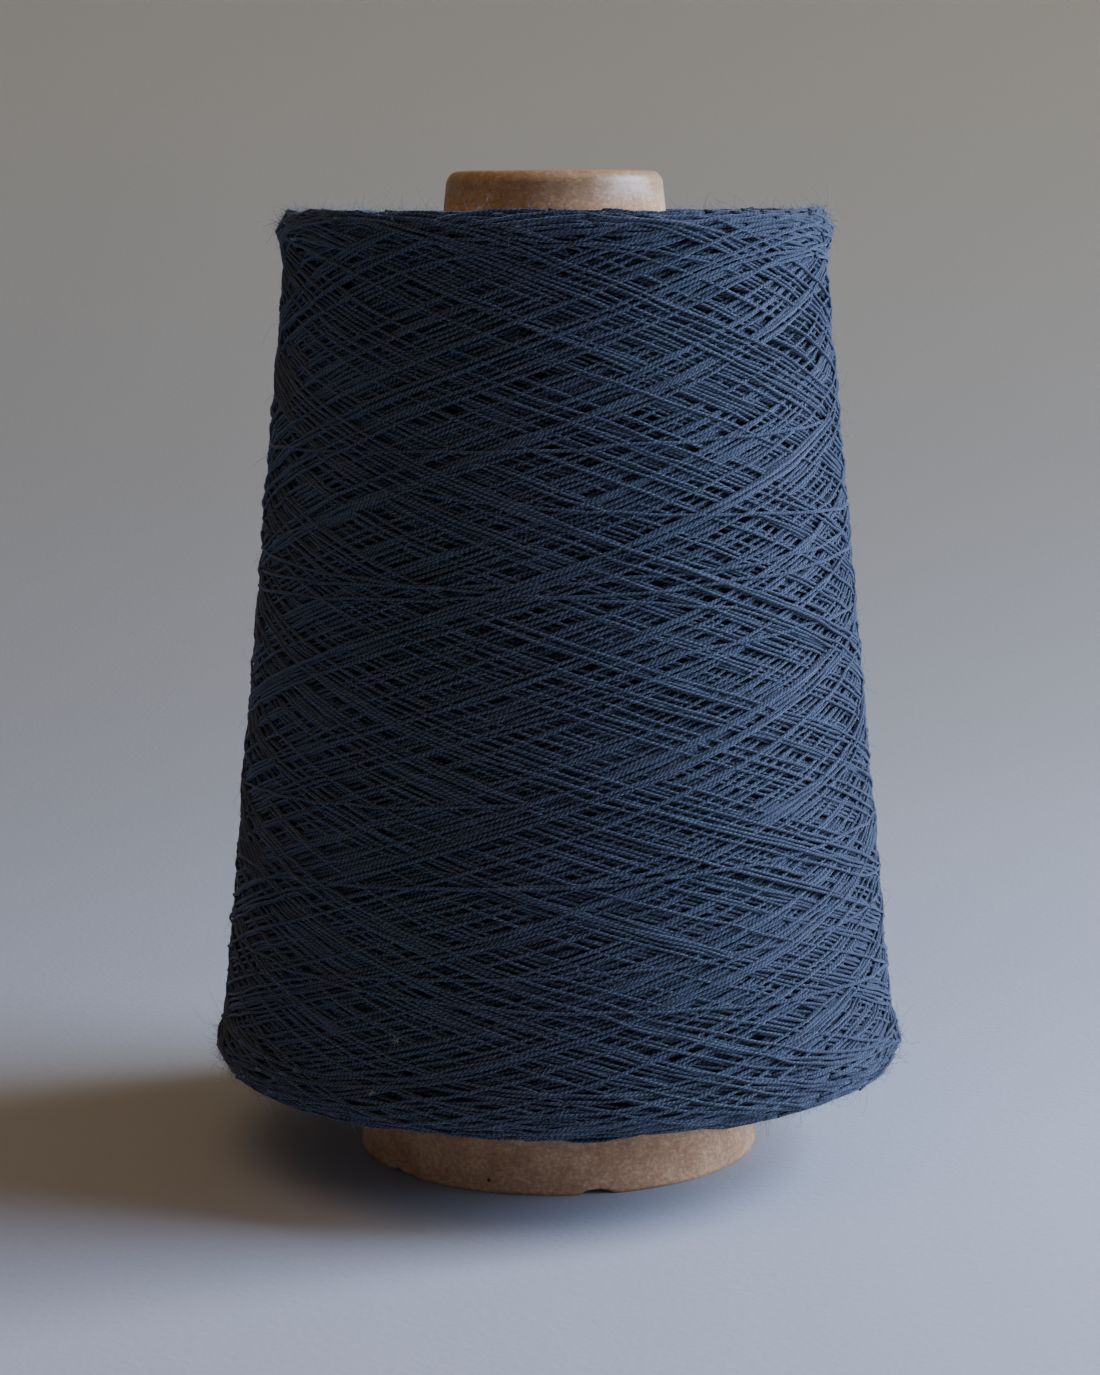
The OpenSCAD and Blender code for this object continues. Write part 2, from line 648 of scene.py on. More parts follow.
    def press(self) -> None:
        """Sinks the surface back to the outline, and presses broad hills part of the way in.

        The package grows outwards under the outline, so only what lies near its surface is kept in
        step, and coils that are buried sink out of sight.
        """
        level = blur(self.height.mean(axis=1), 3.0)[:, None]
        self._lower(level + self.PRESSED * self._broad(self.height - level, self.PRESS / Outline.STEP))

    def settle(self) -> None:
        """Puts each row of the wound surface just under the outline on average, and finds what is hidden."""
        self.press()
        self._lower(np.full_like(self.height, self.SUNK))
        LOG.info("surface spread %.2f mm", self.height.std() / MM)
        lowest = self.height
        for axis in (0, 1):
            shifts = [np.roll(lowest, k, axis=axis) for k in range(-self.PEEP, self.PEEP + 1)]
            lowest = np.minimum.reduce(shifts)
        self.lowest = lowest

    def seen(self, coil: Coil) -> Array:
        """Which points of a coil can be seen, because the surface beside them is as low as they are."""
        top = coil.height + self.yarn.half_height
        beside = self.lowest.ravel()[self.cells(coil.q, coil.turn)]
        return (top > beside - self.SHADE) & (top > -self.BODY)


@dataclass(frozen=True)
class Traverse:
    """How the winding machine moves the yarn to and fro.

    Each there-and-back lays its coil beside the one before, so that a band of parallel coils
    grows, until the ribbon breaker shifts the winding to start a band somewhere else.

    Attributes:
        strokes: How many times the yarn runs from one end of the package to the other.
        per_stroke: Points of a stroke's path as it is planned.
        whole: There-and-backs after which the winding nearly meets itself.
        turns: Turns about the axis in one stroke.
        pitch: Distance from one coil of a band to the next.
        band: Coils in a band, give or take band_change. Its pitch is changed by band_pitch.
        reversal: How far short of its aim the yarn turns back, because the turn is rounded.
        overshoot: How far past the middle of the shoulder it turns back.
        wander: Spread of the places where it turns back.
        early: Share of strokes that turn back early, and early_by the most that they do.
        drift: Spread of a coil's sideways wander. The stray ones, a share, have stray_drift.
        slow: How many strokes have a traverse that lags, out of the last slow_among.
        slow_end: Strokes at the very end that never lag.
        tension_r: The surface's radius of curvature along a coil.
        press_every: Strokes between one pressing of the package and the next.
    """

    strokes: int = 760
    per_stroke: int = 1200
    whole: int = 3
    turns: float = 4 / 3
    pitch: float = 0.95 * MM
    band: int = 7
    band_change: int = 3
    band_pitch: tuple[float, float] = (0.75, 1.45)
    reversal: float = 6.5 * MM
    overshoot: float = 1.2 * MM
    wander: float = 0.3 * MM
    early: float = 0.6
    early_by: float = 8.0 * MM
    drift: float = 0.12 * MM
    stray: float = 0.07
    stray_drift: float = 1.6 * MM
    slow: int = 7
    slow_among: int = 55
    slow_end: int = 3
    tension_r: float = 12.0 * MM
    press_every: int = 20

    def turns_per_stroke(self, rng: np.random.Generator, radius: float, angle: float) -> Array:
        """Turns in each stroke, so that coils fall side by side and bands start at random places.

        Args:
            rng: Where the random numbers come from.
            radius: The package's middle radius.
            angle: The coils' angle to a level circle.

        Returns:
            One number of turns for each stroke.
        """
        pairs = self.strokes // 2 + 1
        beside = self.pitch / (2 * math.pi * radius * math.sin(angle)) / self.whole
        shift = beside * rng.normal(1.0, 0.25, pairs)
        fewest, most = self.band - self.band_change, self.band + self.band_change
        place_now, start, number = 0.0, 0, 0
        while start < pairs:
            aim = number * GOLDEN_SHARE / self.whole + rng.normal() * 0.004
            stop = start + self.whole * int(rng.integers(fewest, most + 1))
            shift[start:stop] *= rng.uniform(*self.band_pitch)
            shift[start] = (aim - place_now) % (1 / self.whole)
            place_now += shift[start:stop].sum()
            start, number = stop, number + 1
        return np.repeat(self.turns + shift / 2, 2)[: self.strokes + 1]

    def slowed(self, q: Array, rng: np.random.Generator) -> Array:
        """Extra turn of a stroke whose traverse lags for one whole turn, so that it lies almost level.

        Args:
            q: The stroke's path along the section.
            rng: Where the random numbers come from.

        Returns:
            The angle to add at each point, which ends as a whole turn.
        """
        middle = rng.uniform(0.15, 0.85) * (q.max() - q.min()) + q.min()
        share = np.clip((q - middle) * np.sign(q[-1] - q[0]) / (rng.uniform(16, 30) * MM) + 0.5, 0, 1)
        return 2 * math.pi * share**2 * (3 - 2 * share)


def wind_side(winder: Winder, plan: Traverse) -> None:
    """Winds the side of the package: straight helices to and fro, rounded where they turn back.

    Args:
        winder: The height map to lay on.
        plan: The machine's settings.
    """
    rng = winder.rng
    outline = winder.outline
    stroke = np.arange(plan.strokes * plan.per_stroke + 1) / plan.per_stroke
    overshoot = plan.reversal + plan.overshoot
    down = np.arange(plan.strokes + 1) % 2 == 0
    ends = np.where(down, outline.base_shoulder - overshoot, outline.nose_shoulder + overshoot)
    early = np.where(rng.random(len(ends)) < plan.early, rng.uniform(0, plan.early_by, len(ends)), 0.0)
    ends = ends + rng.normal(size=len(ends)) * plan.wander + np.where(down, early, -early)
    straight = np.interp(stroke, np.arange(plan.strokes + 1), ends)
    span = float(ends[1::2].mean() - ends[::2].mean())
    window = int(4 * plan.reversal / span * plan.per_stroke)
    padded = np.pad(straight, window, mode="edge")
    q = np.convolve(padded, np.ones(window) / window, mode="same")[window:-window]
    middle_r = float(outline.radius(np.array(outline.length / 2)))
    angle = math.atan(span / (plan.turns * 2 * math.pi * middle_r))
    rates = plan.turns_per_stroke(rng, middle_r, angle)
    turn = np.cumsum(np.interp(stroke, np.arange(len(rates)) + 0.5, rates)) * (2 * math.pi / plan.per_stroke)
    last = np.arange(plan.strokes - plan.slow_among, plan.strokes - plan.slow_end)
    slow = rng.choice(last, plan.slow, replace=False)
    for number in range(plan.strokes):
        part = slice(number * plan.per_stroke, (number + 1) * plan.per_stroke + 1)
        part_q = q[part]
        part_turn = turn[part] + (plan.slowed(part_q, rng) if number in slow else 0.0)
        along = np.cumsum(np.hypot(np.gradient(part_q), np.gradient(part_turn) * outline.radius(part_q)))
        count = int((along[-1] - along[0]) / winder.STEP)
        wanted = np.linspace(along[0], along[-1], count)
        loose = plan.stray_drift if rng.random() < plan.stray else plan.drift
        drift = loose * smooth_noise(rng, count, 60, wrap=False) * np.sin(np.linspace(0, math.pi, count))
        path_q = np.interp(wanted, along, part_q) + drift
        winder.lay(path_q, np.interp(wanted, along, part_turn), wanted, plan.tension_r)
        if number % plan.press_every == plan.press_every - 1:
            winder.press()


@dataclass(frozen=True)
class EndArcs:
    """The short arcs of yarn that show where it turns back, on one end of the package.

    Attributes:
        off_board: Distance of the innermost arc from the board.
        past_edge: How far the outermost one lies round the shoulder.
        half: Half an arc's length.
        spacing: Length of yarn from the middle of one arc to the next.
        scatter_mm: Spread of an arc's place across the end, in mm.
        turn_scatter: Spread of its place round the end, in radians.
        tilt: Spread of its slope across the end.
        bow_r: Radius of the bow in which its tips dive, whose depth is then multiplied by bow.
        shallow: Depth of the bow that still lies on the surface.
        curve_r: The surface's radius of curvature along an arc.
        press_every: Arcs between one pressing and the next.
    """

    off_board: float = 0.6 * MM
    past_edge: float = 1.0 * MM
    half: float = 15.0 * MM
    spacing: float = 40.0 * MM
    scatter_mm: float = 0.35
    turn_scatter: float = 0.3
    tilt: float = 0.012
    bow_r: float = 22.0 * MM
    bow: tuple[float, float] = (0.45, 0.8)
    shallow: float = 0.1 * MM
    curve_r: float = 30.0 * MM
    press_every: int = 60


def wind_end(winder: Winder, which: End, count: int, arcs: EndArcs) -> None:
    """Lays the reversals that show on one end of the package: short arcs that dive in at both tips.

    Args:
        winder: The height map to lay on.
        which: The end to cover, from the board out to the shoulder.
        count: How many arcs.
        arcs: Their sizes and how they are scattered.
    """
    rng = winder.rng
    outline = winder.outline
    if which is End.BASE:
        start, end = arcs.off_board, outline.base_edge + arcs.past_edge
    else:
        start, end = outline.length - arcs.off_board, outline.nose_edge - arcs.past_edge
    low, high = min(start, end), max(start, end)
    across = np.linspace(-arcs.half, arcs.half, int(2 * arcs.half / winder.STEP))
    for number, share in enumerate(np.linspace(0, 1, count) ** 0.9):
        place_q = start + (end - start) * share + rng.normal() * arcs.scatter_mm * MM
        place_q = min(max(place_q, low + arcs.off_board / 2), high)
        radius = float(np.interp(place_q, outline.q, winder.row_radius))
        middle = number * GOLDEN_ANGLE + rng.normal() * arcs.turn_scatter
        dive = across**2 / (2 * arcs.bow_r) * rng.uniform(*arcs.bow)
        tilt = rng.normal() * arcs.tilt
        winder.lay(
            np.clip(place_q + tilt * across, low, high),
            middle + across / radius,
            across + number * arcs.spacing,
            radius=arcs.curve_r,
            sink=np.maximum(dive - arcs.shallow, 0.0),
        )
        if number % arcs.press_every == arcs.press_every - 1:
            winder.press()


# ---------------------------------------------------------------------------------------------
# Finishes
# ---------------------------------------------------------------------------------------------


@dataclass(frozen=True)
class CottonYarn:
    """Navy two-ply cotton: matte, soft at grazing angles, a groove between the plies at each turn. Painted
    shade darkens the groove and low coils; pale flecks are partly painted highlight.
    """

    name: str
    groove: str
    crown: str
    pale_fibre_and_painted_glint: str
    yarn: YarnSizes
    roughness: float = 0.85
    sheen: float = 0.9
    # Shares of the colour at a coil a mm below the outline and at one on it: painted shade of the coils
    # above, and a slight painted light on top.
    painted_shade_sunken: float = 0.5
    raised: float = 1.08

    def build(self) -> bpy.types.Material:
        """Makes the material. It reads the yarn's own map: mm along the yarn, and share of a turn, and each
        point's height, from which it paints shade on low coils.

        Returns:
            The finished material.
        """
        material, tree, shader = new_material(self.name)
        along = add_node(tree, "ShaderNodeUVMap", uv_map="Along").outputs["UV"]
        parts = add_node(tree, "ShaderNodeSeparateXYZ", {0: along}).outputs
        twist = multiply_add(tree, parts["X"], self.yarn.twist.value * MM / self.yarn.ply_pitch, parts["Y"])
        wave = multiply_add(tree, twist, 2 * math.pi)
        lobes = add_node(tree, "ShaderNodeMath", {0: wave}, operation="SINE").outputs[0]
        ply = add_node(tree, "ShaderNodeMath", {0: lobes}, operation="ABSOLUTE").outputs[0]
        stretched = add_node(tree, "ShaderNodeCombineXYZ", {"X": parts["X"], "Y": twist, "Z": 0.0}).outputs[0]
        fibres = noise(tree, stretched, Scale=3.1, Detail=4.0, Roughness=0.7)
        level = multiply_add(tree, fibres, 1.0, multiply_add(tree, ply, 0.23, 0.045))
        # Ramp: painted shade in the ply groove, the navy yarn at the crown, then pale fibre flecks that are
        # partly painted highlight.
        stops = [(0.12, linear(self.groove)), (0.62, linear(self.crown)), (0.97, linear(self.pale_fibre_and_painted_glint))]
        # Painted shade: the colour is scaled down the lower a coil lies, standing in for the shade of the
        # coils above it.
        raised = add_node(tree, "ShaderNodeAttribute", attribute_name="height").outputs["Fac"]
        depth = {"Value": raised, "From Min": -1.0 * MM, "From Max": 0.0}
        share = add_node(tree, "ShaderNodeMapRange", {**depth, "To Min": self.painted_shade_sunken, "To Max": self.raised})
        shade = {0: ramp(tree, level, stops), "Scale": share.outputs[0]}
        painted_depth_shade = add_node(tree, "ShaderNodeVectorMath", shade, operation="SCALE").outputs[0]
        relief = multiply_add(tree, fibres, 0.35, ply)
        looks = {
            "Base Color": painted_depth_shade,
            "Normal": bump(tree, relief, 0.4, 0.05 * MM),
            "Roughness": self.roughness,
            "IOR": 1.5,
            "Specular IOR Level": 0.15,
            "Sheen Weight": self.sheen,
            "Sheen Roughness": 0.3,
            "Sheen Tint": linear("#9aa8c8"),
        }
        wire(tree, shader, looks)
        return material


@dataclass(frozen=True)
class FineFibre:
    """Loose cotton hairs: thin, pale for their colour because light passes through them."""

    name: str
    colour: str

    def build(self) -> bpy.types.Material:
        """Makes the material, with a slight change of shade from hair to hair.

        Returns:
            The finished material.
        """
        material, tree, shader = new_material(self.name)
        where = add_node(tree, "ShaderNodeTexCoord").outputs["Object"]
        patches = noise(tree, where, Scale=900.0)
        full = linear(self.colour)
        dark = (*(part * 0.5 for part in full[:3]), 1.0)
        colour = ramp(tree, patches, [(0.35, dark), (0.65, full)])
        wire(tree, shader, {"Base Color": colour, "Roughness": 0.7, "Sheen Weight": 0.5})
        return material


@dataclass(frozen=True)
class KraftBoard:
    """Kraft paperboard: mottled brown pulp with short fibres, matte, smoother where it is rubbed."""

    name: str
    dark: str
    middle: str
    light: str
    roughness: float
    rubbed_above: float
    rubbed_tone: str = "#e1ebeb"
    polish: float = 0.5
    spot: tuple[float, float, float] | None = None

    def build(self) -> bpy.types.Material:
        """Makes the material from noise at the size of pulp clouds, fibres and grain.

        Returns:
            The finished material.
        """
        material, tree, shader = new_material(self.name)
        where = add_node(tree, "ShaderNodeTexCoord").outputs["Object"]
        laid = add_node(tree, "ShaderNodeMapping", {"Vector": where, "Scale": (1.0, 1.0, 4.0)}).outputs[0]
        clouds = noise(tree, where, Scale=1 / (7 * MM), Detail=3.0, Roughness=0.6)
        grain = noise(tree, where, Scale=1 / (0.7 * MM), Detail=4.0, Roughness=0.7)
        fibres = noise(tree, laid, Scale=1 / (2.2 * MM), Detail=6.0, Roughness=0.75, Distortion=1.2)
        level = 0.0
        for pattern, weight in ((grain, 0.45), (fibres, 0.35), (clouds, 0.3)):
            level = multiply_add(tree, pattern, weight, level)
        stops = [(0.40, linear(self.dark)), (0.54, linear(self.middle)), (0.68, linear(self.light))]
        colour = ramp(tree, level, stops)
        # Painted shade: a very dark round spot at the pinhole stands in for the shade inside the hole.
        if self.spot is not None:
            away = add_node(tree, "ShaderNodeVectorMath", {0: where, 1: self.spot}, operation="DISTANCE")
            edge = {"Value": away.outputs["Value"], "From Min": 0.18 * MM, "From Max": 0.42 * MM}
            pinhole_shade = add_node(tree, "ShaderNodeMapRange", {**edge, "To Min": 1.0, "To Max": 0.0})
            colour = mix(tree, pinhole_shade.outputs[0], colour, linear("#1d120d"))
        height = add_node(tree, "ShaderNodeSeparateXYZ", {0: where}).outputs["Z"]
        reach = {"Value": height, "From Min": self.rubbed_above, "From Max": self.rubbed_above + 3 * MM}
        share = add_node(tree, "ShaderNodeMapRange", reach).outputs[0]
        gloss = {**reach, "To Min": self.roughness, "To Max": self.roughness - self.polish}
        relief = multiply_add(tree, grain, 0.6, fibres)
        looks = {
            "Base Color": mix(tree, share, colour, linear(self.rubbed_tone), "MULTIPLY"),
            "Roughness": add_node(tree, "ShaderNodeMapRange", gloss).outputs[0],
            "Normal": bump(tree, relief, 0.5, 0.08 * MM),
            "IOR": 1.5,
        }
        wire(tree, shader, looks)
        return material


# ---------------------------------------------------------------------------------------------
# The pieces
# ---------------------------------------------------------------------------------------------


@dataclass
class YarnPackage:
    """The wound yarn: a solid body of inner windings, the coils that show, and loose fibres."""

    outline: Outline
    yarn: YarnSizes
    plan: Traverse
    base_arcs: int = 800
    nose_arcs: int = 520
    piece_points: int = 19000
    hairs: int = 9400
    lip_hairs: float = 0.6
    long_hairs: float = 0.025
    hair_r: float = 0.028 * MM
    lint_hairs: int = 14

    def build(self) -> None:
        """Winds the yarn and makes every piece of the package."""
        rng = np.random.default_rng(SEED)
        winder = Winder(self.outline, self.yarn, rng)
        wind_end(winder, End.BASE, self.base_arcs, EndArcs())
        wind_end(winder, End.NOSE, self.nose_arcs, EndArcs())
        end_coils = len(winder.coils)
        wind_side(winder, self.plan)
        winder.settle()
        surface = CottonYarn("cotton yarn, two-ply", "#0f1118", "#252a33", "#6c788a", self.yarn).build()
        # A darker copy of the yarn for the inner body: painted shade for coils that lie deep under the
        # surface.
        shade = CottonYarn("cotton yarn, deep coils in painted shade", "#0d0e13", "#1c1f27", "#2a2e38", self.yarn).build()
        self._body(shade)
        self._strands("end_coils", winder, winder.coils[:end_coils], surface)
        self._strands("surface_wraps", winder, winder.coils[end_coils:], surface)
        self._fuzz(winder, rng)
        self._lint(winder, rng)

    def _body(self, material: bpy.types.Material) -> None:
        """Makes the closed body of inner windings: the outline, sunk in, turned about the axis."""
        every, inset, off_board = 8, 1.9 * MM, 0.03 * MM
        turn = spokes(180)
        grid_q, grid_turn = np.meshgrid(self.outline.q[::every], turn, indexing="ij")
        outer, _ = self.outline.points(grid_q, grid_turn, np.full(grid_q.shape, -Winder.BODY))
        s = np.linspace(self.outline.sizes.end - inset, self.outline.sizes.start + inset, 24)
        r, z = self.outline.cone.place(np.full(len(s), off_board), s)
        inner = around(r[:, None], turn, z[:, None])
        keep = np.linalg.norm(outer[:, 0, :2], axis=-1) > np.interp(outer[:, 0, 2], z[::-1], r[::-1])
        grid = np.concatenate((outer[keep], inner))
        place(lathe(grid).make("inner_windings", material), "yarn_inner", *WINDINGS)

    def _strands(self, name: str, winder: Winder, coils: list[Coil], material: bpy.types.Material) -> None:
        """Makes pieces from the parts of some coils that can be seen, a fair number to a piece.

        Args:
            name: What the pieces' names begin with.
            winder: Holds the finished height map.
            coils: The coils that the pieces are made of.
            material: The yarn finish.
        """
        stride = max(1, round(self.yarn.step / winder.STEP))
        spare, shortest = 3, 3 * stride
        strands: list[Coil] = []
        for coil in coils:
            shown = np.convolve(winder.seen(coil), np.ones(2 * spare + 1), mode="same") > 0
            edges = np.flatnonzero(np.diff(np.concatenate(([0], shown.astype(int), [0]))))
            for begin, stop in zip(edges[::2], edges[1::2]):
                if stop - begin >= shortest:
                    picks = np.unique(np.append(np.arange(begin, stop - 1, stride), stop - 1))
                    strands.append(coil.pick(picks))
        sizes = np.array([len(strand.q) for strand in strands])
        piece = (np.cumsum(sizes) - sizes) // self.piece_points
        for number in range(piece[-1] + 1):
            chosen = [strand for strand, owner in zip(strands, piece) if owner == number]
            parts = tubes(chosen, self.outline, self.yarn)
            place(parts.make(f"{name}_{number + 1:02d}", material), "yarn_surface", "surface_wraps")

    def _fuzz(self, winder: Winder, rng: np.random.Generator) -> None:
        """Makes loose hairs that stand off the surface, most of them short and a few long.

        Args:
            winder: Holds the finished height map.
            rng: Where the random numbers come from.
        """
        q = rng.uniform(self.outline.base_edge, self.outline.nose_edge, self.hairs)
        lips = rng.choice([self.outline.base_shoulder, self.outline.nose_shoulder], self.hairs)
        near_lips = rng.random(self.hairs) < self.lip_hairs
        q = np.where(near_lips, lips + rng.normal(size=self.hairs) * 1.8 * MM, q)
        turn = rng.uniform(0, 2 * math.pi, self.hairs)
        height = winder.height.ravel()[winder.cells(q, turn)]
        roots, outward = self.outline.points(q, turn, height - 0.05 * MM)
        size = 0.8 * MM + rng.gamma(1.6, 0.75 * MM, self.hairs)
        long = rng.random(self.hairs) < self.long_hairs
        size = np.where(long, rng.uniform(3.5 * MM, 7 * MM, self.hairs), size)
        fibre = FineFibre("cotton hairs", "#56647c").build()
        place(hairs(rng, roots, outward, size, self.hair_r).make("yarn_fuzz", fibre), "yarn_surface")

    def _lint(self, winder: Winder, rng: np.random.Generator) -> None:
        """Makes two specks of white lint low on the front, each a small tangle of hairs."""
        above_lip = np.array([14.0, 5.0]) * MM
        q = np.repeat(self.outline.base_shoulder + above_lip, self.lint_hairs)
        turn = np.repeat(np.radians([-117.0, -120.5]), self.lint_hairs)
        height = winder.height.ravel()[winder.cells(q, turn)]
        q = q + rng.normal(size=len(q)) * 0.12 * MM
        turn = turn + rng.normal(size=len(q)) * 0.002
        roots, outward = self.outline.points(q, turn, height + 0.1 * MM)
        size = rng.uniform(0.4 * MM, 1.1 * MM, len(q))
        lint = hairs(rng, roots, outward, size, 0.035 * MM)
        place(lint.make("white_lint", FineFibre("white lint", "#e8e6e0").build()), "yarn_surface")


def hairs(rng: np.random.Generator, roots: Array, outward: Array, size: Array, thick: float) -> MeshParts:
    """Bent tubes with three sides, pointed at the tip: root + outward, sideways and across parts.

    Args:
        rng: Where the random numbers come from.
        roots: Where each hair starts.
        outward: The surface's outward direction there.
        size: Each hair's length.
        thick: Radius at the root.

    Returns:
        The mesh's arrays.
    """
    sides, rings = 3, 4
    count = len(roots)
    sideways = rng.normal(size=(count, 3))
    sideways -= outward * np.sum(sideways * outward, axis=1, keepdims=True)
    sideways /= np.linalg.norm(sideways, axis=1, keepdims=True)
    across = np.cross(outward, sideways)
    rise = rng.uniform(0.25, 1.0, count)
    bend = rng.normal(size=count) * 0.5
    t = np.linspace(0, 1, rings)
    line = (
        roots[:, None]
        + outward[:, None] * (rise * size)[:, None, None] * (t - 0.3 * t**2)[None, :, None]
        + sideways[:, None] * (np.sqrt(1 - rise**2) * size)[:, None, None] * t[None, :, None]
        + across[:, None] * (bend * size)[:, None, None] * (t**2)[None, :, None]
    )
    ahead = np.gradient(line, axis=1)
    ahead /= np.linalg.norm(ahead, axis=2, keepdims=True)
    first = np.cross(ahead, outward[:, None])
    first /= np.maximum(np.linalg.norm(first, axis=2, keepdims=True), 1e-9)
    second = np.cross(ahead, first)
    cos, sin = np.cos(spokes(sides))[:, None], np.sin(spokes(sides))[:, None]
    ring = first[:, :, None] * cos + second[:, :, None] * sin
    taper = thick * (1 - 0.7 * t)
    points = (line[:, :, None] + ring * taper[None, :, None, None]).reshape(-1, 3)
    k = np.arange(sides)
    after = (k + 1) % sides
    start = np.arange(count)[:, None] * (sides * rings)
    base = start[:, :, None] + (np.arange(rings - 1) * sides)[:, None]
    quads = np.stack((base + k, base + after, base + sides + after, base + sides + k), axis=-1)
    tip = start + sides * (rings - 1)
    return MeshParts(points, quads.reshape(-1, 4), [start + k[::-1], tip + k])


def corner_map(u0: Array, u1: Array, v0: Array, v1: Array) -> Array:
    """The map of a grid of quads: both numbers at each quad's corners, once round."""
    corners = ((u0, v0), (u1, v0), (u1, v1), (u0, v1))
    return np.stack([np.stack(np.broadcast_arrays(u, v), axis=-1) for u, v in corners], axis=2).reshape(-1, 2)


def lathe(grid: Array) -> MeshParts:
    """A closed ring from a grid of points: round its section one way and about the axis the other.

    Args:
        grid: Points, section by turn by three.

    Returns:
        The mesh's arrays with a map in mm, wound so that its faces point out of the section when
        the section's points run up the outside.
    """
    rows, columns = grid.shape[:2]
    index = np.arange(rows * columns).reshape(rows, columns)
    up, over = np.roll(index, -1, axis=0), np.roll(index, -1, axis=1)
    both = np.roll(up, -1, axis=1)
    quads = np.stack((index, over, both, up), axis=-1).reshape(-1, 4)
    step = np.linalg.norm(np.diff(grid[:, 0], axis=0, append=grid[:1, 0]), axis=1)
    v = np.concatenate(([0.0], np.cumsum(step)))[:, None] / MM
    radius = np.linalg.norm(grid[:, 0, :2], axis=1)
    u = np.arange(columns + 1)[None] * (2 * math.pi / columns) * radius[:, None] / MM
    return MeshParts(grid.reshape(-1, 3), quads, [], corner_map(u[:, :-1], u[:, 1:], v[:-1], v[1:]))


def tubes(strands: list[Coil], outline: Outline, yarn: YarnSizes) -> MeshParts:
    """Round strands along many centre lines, each closed at both ends.

    A ring stands square to the line. It is an ellipse, wider along the surface than out of it.

    Args:
        strands: The centre lines.
        outline: The curve that their heights are counted from.
        yarn: The section's sizes.

    Returns:
        The mesh's arrays, with a map of mm along the yarn and share of a turn.
    """
    counts = np.array([len(strand.q) for strand in strands])
    lasts = np.cumsum(counts) - 1
    firsts = lasts - counts + 1
    along = np.concatenate([strand.along - strand.along[0] + strand.along[0] % 1.0 for strand in strands])
    height = np.concatenate([strand.height for strand in strands])
    centres, outward = outline.points(
        np.concatenate([strand.q for strand in strands]),
        np.concatenate([strand.turn for strand in strands]),
        height,
    )
    sides = yarn.sides
    ahead = np.empty_like(centres)
    ahead[1:-1] = centres[2:] - centres[:-2]
    ahead[firsts] = centres[firsts + 1] - centres[firsts]
    ahead[lasts] = centres[lasts] - centres[lasts - 1]
    ahead /= np.linalg.norm(ahead, axis=1, keepdims=True)
    side = np.cross(ahead, outward)
    side /= np.linalg.norm(side, axis=1, keepdims=True)
    out = np.cross(side, ahead)
    spin = spokes(sides) + math.pi / 2
    points = (
        centres[:, None]
        + side[:, None] * (yarn.half_width * np.cos(spin))[None, :, None]
        + out[:, None] * (yarn.half_height * np.sin(spin))[None, :, None]
    )
    joined = np.ones(len(centres), bool)
    joined[lasts] = False
    starts = np.flatnonzero(joined)
    k = np.arange(sides)
    after = (k + 1) % sides
    base = starts[:, None] * sides
    quads = np.stack((base + k, base + sides + k, base + sides + after, base + after), axis=-1)
    u0, u1 = along[starts][:, None] / MM, along[starts + 1][:, None] / MM
    uv = corner_map(u0, u1, k / sides, (k + 1) / sides)
    near = firsts[:, None] * sides + k[None]
    far = lasts[:, None] * sides + k[::-1][None]
    # Height of each ring point above the outline, read by the yarn material to paint shade on low coils.
    heights = (height[:, None] + yarn.half_height * np.sin(spin)[None]).ravel()
    return MeshParts(points.reshape(-1, 3), quads.reshape(-1, 4), [near, far], uv, heights)


